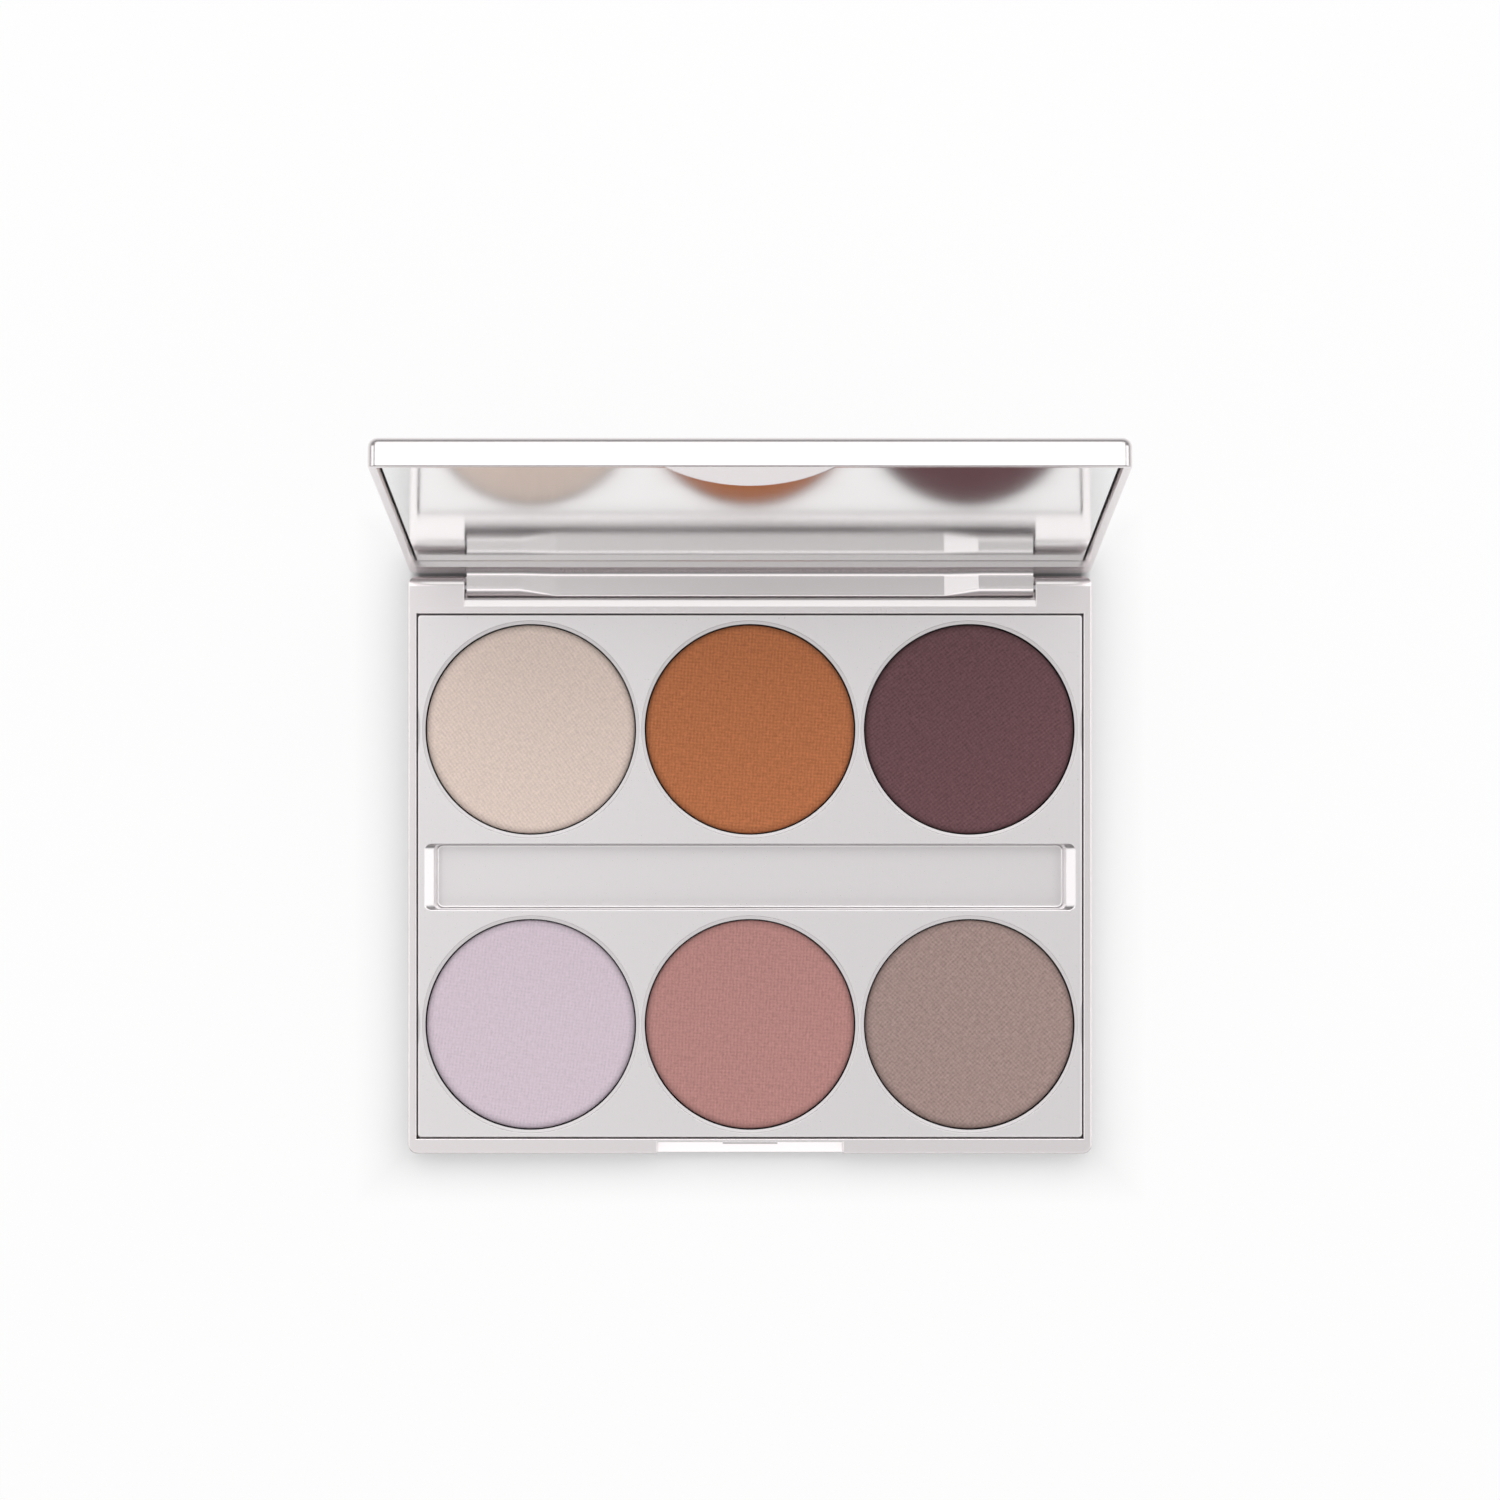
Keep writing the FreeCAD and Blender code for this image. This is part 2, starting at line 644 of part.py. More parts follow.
def cut_channel(body):
    """Applicator channel: a short ramp at each end, then drafted walls down to its floor."""
    half_y = "Sizes.channel_width / 2"
    ramp_level = "Places.insert_top - Sizes.channel_ramp_drop"
    levels = [
        ("Places.insert_top", "Places.channel_half", half_y),
        (ramp_level, "Places.channel_half - Sizes.channel_ramp_length", half_y),
        (
            "Places.channel_bottom",
            "Places.channel_half - Sizes.channel_ramp_length - Sizes.channel_end_draft",
            f"({half_y} - Sizes.channel_side_draft)",
        ),
    ]
    for upper, lower in zip(levels, levels[1:]):
        sketches = []
        for height, half_x, reach in (upper, lower):
            sketch = new_sketch(body, "XY_Plane", height)
            draw_round_rectangle(sketch, half_x, "Places.middle_y", reach, "Sizes.channel_corner")
            sketches.append(sketch)
        loft(body, "SubtractiveLoft", *sketches)
    dress(body, "Fillet", "Sizes.channel_edge_round", is_channel_mouth)
    floor = "Places.channel_bottom"
    dress(body, "Fillet", "Sizes.channel_floor_round", lambda edge: is_level_at(edge, floor))


def is_channel_mouth(edge):
    box = edge.BoundBox
    reach = value("Sizes.channel_width / 2") + SAME_PLACE
    middle = value("Places.middle_y")
    inside = box.YMin > middle - reach and box.YMax < middle + reach
    clear_of_rim = abs(box.XMax) < value("Places.channel_half") + SAME_PLACE
    return inside and clear_of_rim and is_level_at(edge, "Places.insert_top")


def make_pan(label, place):
    """Round pan pressed from thin tinplate."""
    body = new_body(label)
    outer = "Sizes.pan_radius"
    inner = "Sizes.pan_radius - Sizes.pan_sheet"
    bend = "Sizes.pan_bottom_round"
    inner_bend = "(Sizes.pan_bottom_round - Sizes.pan_sheet)"
    profile = new_sketch(body, "XZ_Plane")
    corners = [
        ("0", "0"),
        (f"{outer} - {bend}", "0"),
        (outer, bend),
        (outer, "Places.pan_height"),
        (inner, "Places.pan_height"),
        (inner, bend),
        (f"{inner} - {inner_bend}", "Sizes.pan_sheet"),
        ("0", "Sizes.pan_sheet"),
    ]
    middle = f"{outer} - {bend}"
    draw_outline(profile, corners, {1: (middle, bend, bend), 5: (middle, bend, inner_bend)})
    revolve(body, profile)
    set_place(body, place, "Places.pan_bottom")
    return body


def make_powder(label, place):
    """Pressed powder cake that fills its pan and spreads over the pan's rim, with a worn edge."""
    body = new_body(label)
    radius = "Places.powder_radius"
    brim = "Places.powder_brim_radius"
    level = "Places.powder_brim_level"
    height = "Places.powder_height"
    foot = "Places.powder_foot_round"
    shoulder = "Places.powder_shoulder"
    flat = f"{brim} - Sizes.powder_edge_width"
    profile = new_sketch(body, "XZ_Plane")
    corners = [
        ("0", "0"),
        (f"{radius} - {foot}", "0"),
        (radius, foot),
        (radius, level),
        (brim, level),
        (brim, f"{height} - Sizes.powder_edge_drop"),
        (flat, height),
        ("0", height),
    ]
    arcs = {
        1: (f"{radius} - {foot}", foot, foot),
        5: (flat, f"{height} - {shoulder}", shoulder),
    }
    draw_outline(profile, corners, arcs)
    revolve(body, profile)
    set_place(body, place, "Places.pan_bottom + Sizes.pan_sheet")
    return body


def set_place(item, place, height):
    item.setExpression("Placement.Base.x", place[0])
    item.setExpression("Placement.Base.y", place[1])
    item.setExpression("Placement.Base.z", height)


def make_pan_adhesive():
    """Six glue dots, one under each pan."""
    dots = []
    for place in pan_places((-1, 0, 1)):
        dot = doc.addObject("Part::Cylinder", "glue_dot")
        dot.setExpression("Radius", "Sizes.glue_radius")
        dot.setExpression("Height", "Sizes.glue_thickness")
        set_place(dot, place, "Places.well_bottom")
        dots.append(dot)
    group = doc.addObject("Part::Compound", "pan_adhesive")
    group.Label = "pan_adhesive"
    group.Links = dots
    return group


def swing_open(body):
    """Places a lid piece, drawn shut about the hinge line, at the open angle."""
    body.Placement = FreeCAD.Placement(FreeCAD.Vector(), FreeCAD.Rotation(FreeCAD.Vector(-1, 0, 0), 1))
    body.setExpression("Placement.Base.y", "Places.axis_y")
    body.setExpression("Placement.Base.z", "Places.axis_z")
    body.setExpression("Placement.Rotation.Angle", "Sizes.open_angle")


def make_lid_shell():
    """Lid moulding: a shallow pan for the mirror, a hinge lug at the back and a snap tab in front."""
    body = new_body("lid_shell")
    sketch = case_outline(body, "Places.lid_rim", "Places.lid_front", "Sizes.hinge_inset")
    pad(body, sketch, "Sizes.lid_thickness")
    dress(body, "Fillet", "Sizes.corner_radius", is_upright)
    top = "Places.lid_rim + Sizes.lid_thickness"
    dress(body, "Fillet", "Sizes.lid_edge_round", lambda edge: is_level_at(edge, top))
    dress(body, "Fillet", "Sizes.rim_round", lambda edge: is_level_at(edge, "Places.lid_rim"))

    recess = new_sketch(body, "XY_Plane", "Places.lid_rim")
    half = "Places.recess_half"
    draw_rectangle(recess, f"-{half}", half, "Places.recess_front", "Places.recess_back")
    pocket(body, recess, "Places.lid_ceiling - Places.lid_rim", backwards=True)
    add_hinge_lug(body)
    add_snap_tab(body)
    swing_open(body)
    return body


def draw_lug(body, offset, front, front_round):
    """Section of the lug across the hinge line, with a hollow curve at its root on the lid's rim."""
    back = "Sizes.hinge_inset"
    low = "-Places.lug_reach"
    rim = "Places.lid_rim"
    sunk = "Places.lid_rim + Sizes.merge"
    back_round = "Places.lug_round"
    root = "Sizes.lug_root_round"
    corners = [
        (back, sunk),
        (back, f"{low} + {back_round}"),
        (f"{back} - {back_round}", low),
        (f"-{front} + {front_round}", low),
        (f"-{front}", f"{low} + {front_round}"),
        (f"-{front}", f"{rim} - {root}"),
        (f"-{front} - {root}", rim),
        (f"-{front} - {root}", sunk),
    ]
    arcs = {
        1: (f"{back} - {back_round}", f"{low} + {back_round}", back_round),
        3: (f"-{front} + {front_round}", f"{low} + {front_round}", front_round),
        5: (f"-{front} - {root}", f"{rim} - {root}", root),
    }
    return draw_outline(new_sketch(body, "YZ_Plane", offset), corners, arcs)


def add_hinge_lug(body):
    """A web along the lid's back that swells to a bored knuckle at each end."""
    knuckle = ("Places.lug_reach", "Places.lug_round")
    web = ("Sizes.web_front", "Sizes.web_edge_round")
    pad(body, draw_lug(body, None, *web), "2 * Places.web_end", both_ways=True)
    for sign in (-1, 1):
        blend_start = draw_lug(body, f"{sign} * Places.web_end", *web)
        blend_end = draw_lug(body, f"{sign} * Places.knuckle_start", *knuckle)
        loft(body, "AdditiveLoft", blend_start, blend_end)
        section = draw_lug(body, f"{sign} * Places.knuckle_start", *knuckle)
        pad(body, section, "Places.lug_half - Places.knuckle_start", backwards=sign < 0)
        bore = new_sketch(body, "YZ_Plane", f"{sign} * Places.lug_half")
        draw_circles(bore, [("0", "0")], "Places.bore_radius")
        pocket(body, bore, "Places.lug_half - Places.bore_end", backwards=sign < 0)


def add_snap_tab(body):
    """Round-edged tab that drops into the base's thumb recess, with a bead that snaps under its catch."""
    half = "Sizes.tab_chord / 2"
    root = "Places.lid_rim + Sizes.merge"
    centre = "Places.lid_rim - Sizes.tab_drop + Places.tab_radius"
    corners = [
        (f"-{half}", root),
        (f"-{half}", "Places.lid_rim"),
        (half, "Places.lid_rim"),
        (half, root),
    ]
    face = new_sketch(body, "XZ_Plane", "-Places.tab_outer")
    draw_outline(face, corners, {1: ("0", centre, "Places.tab_radius")})
    pad(body, face, "Places.tab_thickness", backwards=True)
    thin_tab(body)
    dress(body, "Fillet", "Sizes.tab_edge_round", is_tab_edge)
    draw_bead(body, "Places.tab_inner", "Places.lid_rim - Sizes.catch_tab_drop", "Sizes.catch_tab_proud", 1)


def thin_tab(body):
    """Leans the tab's outer face inwards towards its tip, for release from the mould."""
    outside = "Places.tab_outer - Sizes.overrun"
    thinned = "Places.tab_outer + Sizes.tab_draft"
    tip = "Places.lid_rim - Sizes.tab_drop"
    profile = new_sketch(body, "YZ_Plane")
    draw_outline(profile, [
        (outside, "Places.lid_rim"),
        ("Places.tab_outer", "Places.lid_rim"),
        (thinned, tip),
        (thinned, f"{tip} - Sizes.overrun"),
        (outside, f"{tip} - Sizes.overrun"),
    ])
    pocket(body, profile, "Sizes.tab_chord + Sizes.overrun", both_ways=True)


def is_tab_edge(edge):
    """The round lower edges of the tab's two faces."""
    if isinstance(edge.Curve, Part.Line):
        return False
    faces = (value("Places.tab_outer"), value("Places.tab_inner"))
    ends = [corner.Point for corner in edge.Vertexes]
    return len(ends) == 2 and all(
        near(end.z, value("Places.lid_rim")) and any(near(end.y, face) for face in faces) for end in ends
    )


def make_mirror():
    """Glass mirror with ground edges."""
    body = new_body("mirror")
    half = "(Places.recess_half - Sizes.mirror_gap)"
    face = "Places.mirror_face"
    sketch = new_sketch(body, "XY_Plane", face)
    draw_rectangle(
        sketch, f"-{half}", half,
        "Places.recess_front + Sizes.mirror_gap", "Places.recess_back - Sizes.mirror_gap",
    )
    pad(body, sketch, "Sizes.mirror_thickness")
    dress(body, "Fillet", "Sizes.mirror_corner", is_upright)
    dress(body, "Chamfer", "Sizes.mirror_edge_chamfer", lambda edge: is_level_at(edge, face))
    swing_open(body)
    return body


def make_mirror_tape():
    """Sheet of double-sided tape that holds the mirror in the lid."""
    body = new_body("mirror_tape")
    half = "(Places.recess_half - Sizes.tape_margin)"
    sketch = new_sketch(body, "XY_Plane", "Places.mirror_back")
    draw_rectangle(
        sketch, f"-{half}", half,
        "Places.recess_front + Sizes.tape_margin", "Places.recess_back - Sizes.tape_margin",
    )
    pad(body, sketch, "Sizes.tape_thickness")
    swing_open(body)
    return body


def make_hinge_pin(label, sign):
    """Steel pin, pressed into one ear and turning in the lug's bore."""
    body = new_body(label)
    sketch = new_sketch(body, "YZ_Plane", f"{sign} * Places.pin_outer_end")
    draw_circles(sketch, [("0", "0")], "Sizes.pin_radius")
    pad(body, sketch, "Places.pin_outer_end - Places.pin_inner_end", backwards=sign > 0)
    dress(body, "Chamfer", "Sizes.pin_end_chamfer", lambda edge: isinstance(edge.Curve, Part.Circle))
    set_place(body, ("0", "Places.axis_y"), "Places.axis_z")
    return body


def make_palette():
    pieces = [make_base_shell(), make_pan_insert()]
    for row, colours in ROWS:
        for column, colour in zip((-1, 0, 1), colours):
            place = pan_place(column, row)
            pieces.append(make_pan(f"pan_{colour}", place))
            pieces.append(make_powder(f"powder_{colour}", place))
    pieces.append(make_pan_adhesive())
    pieces += [make_lid_shell(), make_mirror(), make_mirror_tape()]
    pieces += [make_hinge_pin("hinge_pin_left", -1), make_hinge_pin("hinge_pin_right", 1)]
    return pieces


def check_and_write(pieces):
    doc.recompute()
    failed = [item.Name for item in doc.Objects if {"Invalid", "Error"} & set(item.State)]
    bad = [item.Label for item in pieces if item.Shape.isNull() or not item.Shape.isValid()]
    if failed or bad:
        raise RuntimeError(f"failed objects: {failed}, bad shapes: {bad}")
    os.makedirs("parts", exist_ok=True)
    for item in pieces:
        item.Shape.exportStep(f"parts/{item.Label}.step")
        print(f"{item.Label}: {len(item.Shape.Solids)} solids, {item.Shape.Volume:.1f} mm3")
    whole = FreeCAD.BoundBox()
    for item in pieces:
        whole.add(item.Shape.BoundBox)
    print(f"open size {whole.XLength:.2f} x {whole.YLength:.2f} x {whole.ZLength:.2f} mm")
    closed = value("Sizes.base_height + Sizes.parting_gap + Sizes.lid_thickness")
    width = 2 * value("Places.half_width")
    print(f"shut size {width:.2f} x {value('Places.case_depth'):.2f} x {closed:.2f} mm")


check_and_write(make_palette())
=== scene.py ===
# %% [markdown]
# A slim eyeshadow compact, standing open. Its parts come from CAD and stay exactly as they are, so this lesson is
# about looks: what each surface is on the real object, how a factory makes it, and which few shader nodes
# give the eye the same thing. Everything is in metres, with the hinge at +Y and up at +Z.

# %% Load the parts
import math

import bpy
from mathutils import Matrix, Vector, noise


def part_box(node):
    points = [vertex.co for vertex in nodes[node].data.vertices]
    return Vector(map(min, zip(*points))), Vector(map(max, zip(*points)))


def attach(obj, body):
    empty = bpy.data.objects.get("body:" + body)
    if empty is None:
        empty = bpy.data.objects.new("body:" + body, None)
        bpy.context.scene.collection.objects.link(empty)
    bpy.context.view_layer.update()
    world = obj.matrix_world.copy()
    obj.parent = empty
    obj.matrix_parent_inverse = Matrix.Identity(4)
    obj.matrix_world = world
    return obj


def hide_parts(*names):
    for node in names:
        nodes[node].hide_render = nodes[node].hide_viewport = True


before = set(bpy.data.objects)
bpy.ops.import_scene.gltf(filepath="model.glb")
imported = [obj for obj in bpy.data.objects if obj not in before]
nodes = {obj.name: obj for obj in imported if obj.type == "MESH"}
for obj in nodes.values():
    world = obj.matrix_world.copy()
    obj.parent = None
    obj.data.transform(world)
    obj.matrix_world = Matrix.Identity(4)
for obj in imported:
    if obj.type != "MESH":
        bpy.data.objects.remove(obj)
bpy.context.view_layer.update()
MM = 0.001

# %% [markdown]
# Colours are easiest to write as they look on a screen, in hex, but light adds up in linear steps, so one function turns
# the first into the second. A shader tree gets long when every socket takes a line. The other function adds one node
# with its settings and inputs, where an input is either a constant or the output of an earlier node.

# %% Two helpers


def linear(code):
    """Linear colour of a hex code as it looks on a screen."""
    steps = [int(code[i:i + 2], 16) / 255 for i in (1, 3, 5)]
    return [s / 12.92 if s <= 0.04045 else ((s + 0.055) / 1.055) ** 2.4 for s in steps] + [1.0]


def add(tree, kind, sockets=None, **settings):
    """Adds a node, sets its properties, and fills or links its inputs."""
    made = tree.nodes.new(kind)
    for name, value in settings.items():
        setattr(made, name, value)
    for name, value in (sockets or {}).items():
        if isinstance(value, bpy.types.NodeSocket):
            tree.links.new(value, made.inputs[name])
        else:
            made.inputs[name].default_value = value
    return made


print("mid grey is", round(linear("#808080")[0], 3), "in linear light")

# %% [markdown]
# Product pictures of palettes are taken from straight above with a long lens: the tray shows no sides, the pans stay
# round, and the open lid is seen almost along its length. A new Blender camera already looks straight down, so it
# only has to be lifted and moved a little towards the hinge.

# %% Camera
CAMERA_PLACE = (0, 16.8 * MM, 750.6 * MM)
lens = bpy.data.cameras.new("camera")
lens.lens = 122.0
lens.sensor_width = 36.0
camera = bpy.data.objects.new("camera", lens)
camera.location = CAMERA_PLACE
bpy.context.scene.collection.objects.link(camera)
bpy.context.scene.camera = camera
bpy.context.scene.view_settings.view_transform = "Standard"
print("camera", [round(v, 4) for v in camera.location], "lens", lens.lens)

# %% [markdown]
# The compact lies on a sheet of white paper in a darker room. Paper only scatters light, so it is a diffuse surface.
# The camera and the metal see it mostly as plain white, but next to the compact its soft shadow is kept. Under the
# compact the paper is painted grey, a painted shadow, so that no white shines up through the narrow gaps beside
# the hinge. Far out the sheet ends in grey too: silver needs something darker around it to show its edges.

# %% Floor
FLOOR_HALF = 12.0
PAPER_REACH, ROOM_REACH = 0.17, 0.42
PAPER, ROOM, PAINTED_SHADOW_UNDER = "#f4f4f4", "#b4b4b4", "#787878"
WHITE_SHARE, SHADOW_REACH = 0.85, 9.0 * MM
UNDER_HALF, UNDER_MIDDLE, PAINTED_SHADOW_EDGE = (49.5 * MM, 42.4 * MM, 0), (0, 1.1 * MM, 0), 0.8 * MM
corners = [(x * FLOOR_HALF, y * FLOOR_HALF, -0.05 * MM) for x, y in ((-1, -1), (1, -1), (1, 1), (-1, 1))]
sheet = bpy.data.meshes.new("paper_floor")
sheet.from_pydata(corners, [], [(0, 1, 2, 3)])
floor = bpy.data.objects.new("paper_floor", sheet)
bpy.context.scene.collection.objects.link(floor)

paper = bpy.data.materials.new("white paper, calendered")
paper.use_nodes = True
tree = paper.node_tree
tree.nodes.remove(tree.nodes["Principled BSDF"])
path = add(tree, "ShaderNodeLightPath").outputs
seen = add(tree, "ShaderNodeMath", {0: path["Is Camera Ray"], 1: path["Is Glossy Ray"]}, operation="MAXIMUM")
seen = add(tree, "ShaderNodeMath", {0: seen.outputs[0], 1: path["Is Transmission Ray"]}, operation="MAXIMUM")
place = add(tree, "ShaderNodeTexCoord").outputs["Object"]
aside = add(tree, "ShaderNodeVectorMath", {0: place, 1: UNDER_MIDDLE}, operation="SUBTRACT")
aside = add(tree, "ShaderNodeVectorMath", {0: aside.outputs[0]}, operation="ABSOLUTE")
aside = add(tree, "ShaderNodeVectorMath", {0: aside.outputs[0], 1: UNDER_HALF}, operation="SUBTRACT")
aside = add(tree, "ShaderNodeSeparateXYZ", {0: aside.outputs[0]}).outputs
outside = add(tree, "ShaderNodeMath", {0: aside["X"], 1: aside["Y"]}, operation="MAXIMUM").outputs[0]
clear = add(tree, "ShaderNodeMapRange", {"Value": outside, "From Min": -PAINTED_SHADOW_EDGE, "From Max": PAINTED_SHADOW_EDGE}).outputs[0]
bright = add(tree, "ShaderNodeMapRange", {"Value": outside, "From Max": SHADOW_REACH, "To Max": WHITE_SHARE})
share = add(tree, "ShaderNodeMath", {0: seen.outputs[0], 1: bright.outputs[0]}, operation="MULTIPLY")
reach = add(tree, "ShaderNodeVectorMath", {0: place}, operation="LENGTH").outputs["Value"]
fade = add(tree, "ShaderNodeMapRange", {"Value": reach, "From Min": PAPER_REACH, "From Max": ROOM_REACH})
shade = add(tree, "ShaderNodeMix", {0: fade.outputs[0], 6: linear(PAPER), 7: linear(ROOM)}, data_type="RGBA")
# Painted shadow: under the compact the paper's colour turns grey, with a soft edge.
shade = add(tree, "ShaderNodeMix", {0: clear, 6: linear(PAINTED_SHADOW_UNDER), 7: shade.outputs[2]}, data_type="RGBA")
glow = add(tree, "ShaderNodeMix", {0: fade.outputs[0], 6: linear("#ffffff"), 7: linear(ROOM)}, data_type="RGBA")
scatter = add(tree, "ShaderNodeBsdfDiffuse", {"Color": shade.outputs[2]})
white = add(tree, "ShaderNodeEmission", {"Color": glow.outputs[2], "Strength": 1.0})
add(tree, "ShaderNodeMixShader", {0: share.outputs[0], 1: scatter.outputs[0], 2: white.outputs[0]}, name="look")
tree.links.new(tree.nodes["look"].outputs[0], tree.nodes["Material Output"].inputs["Surface"])
sheet.materials.append(paper)
print("paper white to", PAPER_REACH, "m, grey from", ROOM_REACH, "m")

# %% [markdown]
# Silver has hardly a colour of its own: it shows the room. Photographers hang a white ceiling over it, dimmer
# in the middle where the camera looks through, and leave the rest of the room dark. The world does this with
# one ramp over the height of each direction, from 0 at the horizon to 1 overhead. The middle leans a little
# to the right, which is why the right side of the case looks darker than the left.

# %% Ceiling
CEILING = (
    (0.0, 0.17), (0.12, 0.14), (0.20, 0.08), (0.50, 0.15), (0.78, 0.40), (0.87, 1.0),
    (0.94, 1.0), (0.975, 0.56), (0.99, 0.36), (1.0, 0.31),
)
CEILING_STRENGTH = 1.47
CEILING_LEAN = math.radians(4)
world = bpy.data.worlds.new("white_ceiling")
world.use_nodes = True
bpy.context.scene.world = world
tree = world.node_tree
way = add(tree, "ShaderNodeTexCoord").outputs["Generated"]
middle = (math.sin(CEILING_LEAN), 0, math.cos(CEILING_LEAN))
height = add(tree, "ShaderNodeVectorMath", {0: way, 1: middle}, operation="DOT_PRODUCT").outputs["Value"]
ramp = add(tree, "ShaderNodeValToRGB", {"Fac": height})
while len(ramp.color_ramp.elements) < len(CEILING):
    ramp.color_ramp.elements.new(1.0)
for stop, (level, grey) in zip(ramp.color_ramp.elements, CEILING):
    stop.position = level
    stop.color = (grey, grey, grey, 1)
tree.links.new(ramp.outputs["Color"], tree.nodes["Background"].inputs["Color"])
tree.nodes["Background"].inputs["Strength"].default_value = CEILING_STRENGTH
print("ceiling steps", len(CEILING))

# %% [markdown]
# Three soft boxes finish the set. The large one behind turns the lid's front edge white, and a low one on each side
# brightens everything that slopes sideways, such as the ends of the channel. A box is set by how bright it looks,
# because that is what silver repeats: brightness times pi times area is the lamp's power.

# %% Soft boxes


def soft_box(name, side, lean, width, height, brightness, away=1.0):
    """Rectangular lamp, seen from the origin at an angle from overhead, towards a side in degrees from +X."""
    turn, tilt = math.radians(side), math.radians(lean)
    lamp = bpy.data.lights.new(name, "AREA")
    lamp.shape = "RECTANGLE"
    lamp.size, lamp.size_y = width, height
    lamp.energy = brightness * math.pi * width * height
    made = bpy.data.objects.new(name, lamp)
    made.location = Vector((math.cos(turn) * math.sin(tilt), math.sin(turn) * math.sin(tilt), math.cos(tilt))) * away
    made.rotation_euler = (-made.location).to_track_quat("-Z", "Y").to_euler()
    bpy.context.scene.collection.objects.link(made)
    return made


boxes = [
    soft_box("back_box", 90, 37, 1.3, 1.05, 0.95),
    soft_box("left_box", 180, 64, 0.9, 0.5, 1.25),
    soft_box("right_box", 0, 64, 0.9, 0.5, 1.25),
]
print("lamps", [(box.name, round(box.data.energy, 2)) for box in boxes])

# %% [markdown]
# Case and insert are moulded ABS, sprayed with a silver lacquer of aluminium flakes in a clear binder. The flakes lie
# nearly flat, so the coat mirrors like metal but softly. Real flakes are a few hundredths of a millimetre, too fine
# for a picture, so the grain is drawn at a fifth of a millimetre. Spraying also leaves a faint orange peel.

# %% Silver lacquer
FLAKE, PEEL = 0.2 * MM, 2.5 * MM


def silver(name, colour, roughness):
    """Aluminium-flake lacquer: soft metal with a fine grain, on a skin that is not quite flat."""
    made = bpy.data.materials.new(name)
    made.use_nodes = True
    tree = made.node_tree
    place = add(tree, "ShaderNodeTexCoord").outputs["Object"]
    flake = add(tree, "ShaderNodeTexNoise", {"Vector": place, "Scale": 1 / FLAKE, "Detail": 1.0}).outputs["Fac"]
    peel = add(tree, "ShaderNodeTexNoise", {"Vector": place, "Scale": 1 / PEEL, "Detail": 1.0}).outputs["Fac"]
    dull = [0.985 * c for c in linear(colour)[:3]] + [1.0]
    tint = add(tree, "ShaderNodeMix", {0: flake, 6: dull, 7: linear(colour)}, data_type="RGBA")
    blur = {"Value": flake, "To Min": roughness - 0.012, "To Max": roughness + 0.012}
    blur = add(tree, "ShaderNodeMapRange", blur)
    skin = add(tree, "ShaderNodeBump", {"Height": peel, "Strength": 0.06, "Distance": 0.02 * MM})
    shader = tree.nodes["Principled BSDF"]
    tree.links.new(tint.outputs[2], shader.inputs["Base Color"])
    tree.links.new(blur.outputs[0], shader.inputs["Roughness"])
    tree.links.new(skin.outputs[0], shader.inputs["Normal"])
    shader.inputs["Metallic"].default_value = 0.92
    return made


def wear(material, *names):
    """Gives CAD parts one material in place of the plain one they came with."""
    for name in names:
        nodes[name].data.materials.clear()
        nodes[name].data.materials.append(material)


insert = silver("aluminium-flake lacquer, sprayed on the insert", "#e9e5e6", 0.28)
wear(silver("aluminium-flake lacquer, sprayed on the case", "#f0eaeb", 0.25), "base_shell", "lid_shell")
wear(insert, "pan_insert")
print("silver on", [name for name in nodes if "lacquer" in nodes[name].data.materials[0].name])

# %% [markdown]
# The spray comes from above. On the narrow ledge around each well it lands a little thin and dry, so the ledge is
# duller than the deck, and down the well's wall it hardly lands at all, so the plastic stays bare. The wall's colour
# is painted dark grey and not metal: painted shade that keeps the gap around each pan dark. The wells stand in a
# grid, so folding the deck onto one well gives every point its distance from the middle of the nearest pan, and two
# limits on that distance tell ledge and wall from the deck.

# %% Ledges and wells
LEDGE_RADIUS, WALL_RADIUS = 15.9 * MM, 15.41 * MM
DRY, WALL_PAINTED_SHADE = "#cac6c7", "#444446"
DRY_ROUGHNESS = 0.42
back_left = sum(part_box("pan_cream"), Vector()) / 2
front_left = sum(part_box("pan_lilac"), Vector()) / 2
pitch, row_middle = -back_left.x, (back_left.y + front_left.y) / 2
tree = insert.node_tree
shader = tree.nodes["Principled BSDF"]
place = add(tree, "ShaderNodeSeparateXYZ", {0: add(tree, "ShaderNodeTexCoord").outputs["Object"]}).outputs
column = add(tree, "ShaderNodeMath", {0: place["X"], 1: pitch / 2, 2: -pitch / 2}, operation="WRAP")
row = add(tree, "ShaderNodeMath", {0: place["Y"], 1: row_middle}, operation="SUBTRACT")
row = add(tree, "ShaderNodeMath", {0: row.outputs[0]}, operation="ABSOLUTE")
row = add(tree, "ShaderNodeMath", {0: row.outputs[0], 1: back_left.y - row_middle}, operation="SUBTRACT")
spot = add(tree, "ShaderNodeCombineXYZ", {"X": column.outputs[0], "Y": row.outputs[0]}).outputs[0]
off_middle = add(tree, "ShaderNodeVectorMath", {0: spot}, operation="LENGTH").outputs["Value"]
on_ledge = add(tree, "ShaderNodeMath", {0: off_middle, 1: LEDGE_RADIUS}, operation="LESS_THAN").outputs[0]
on_wall = add(tree, "ShaderNodeMath", {0: off_middle, 1: WALL_RADIUS}, operation="LESS_THAN").outputs[0]
coat = shader.inputs["Base Color"].links[0].from_socket
coat = add(tree, "ShaderNodeMix", {0: on_ledge, 6: coat, 7: linear(DRY)}, data_type="RGBA").outputs[2]
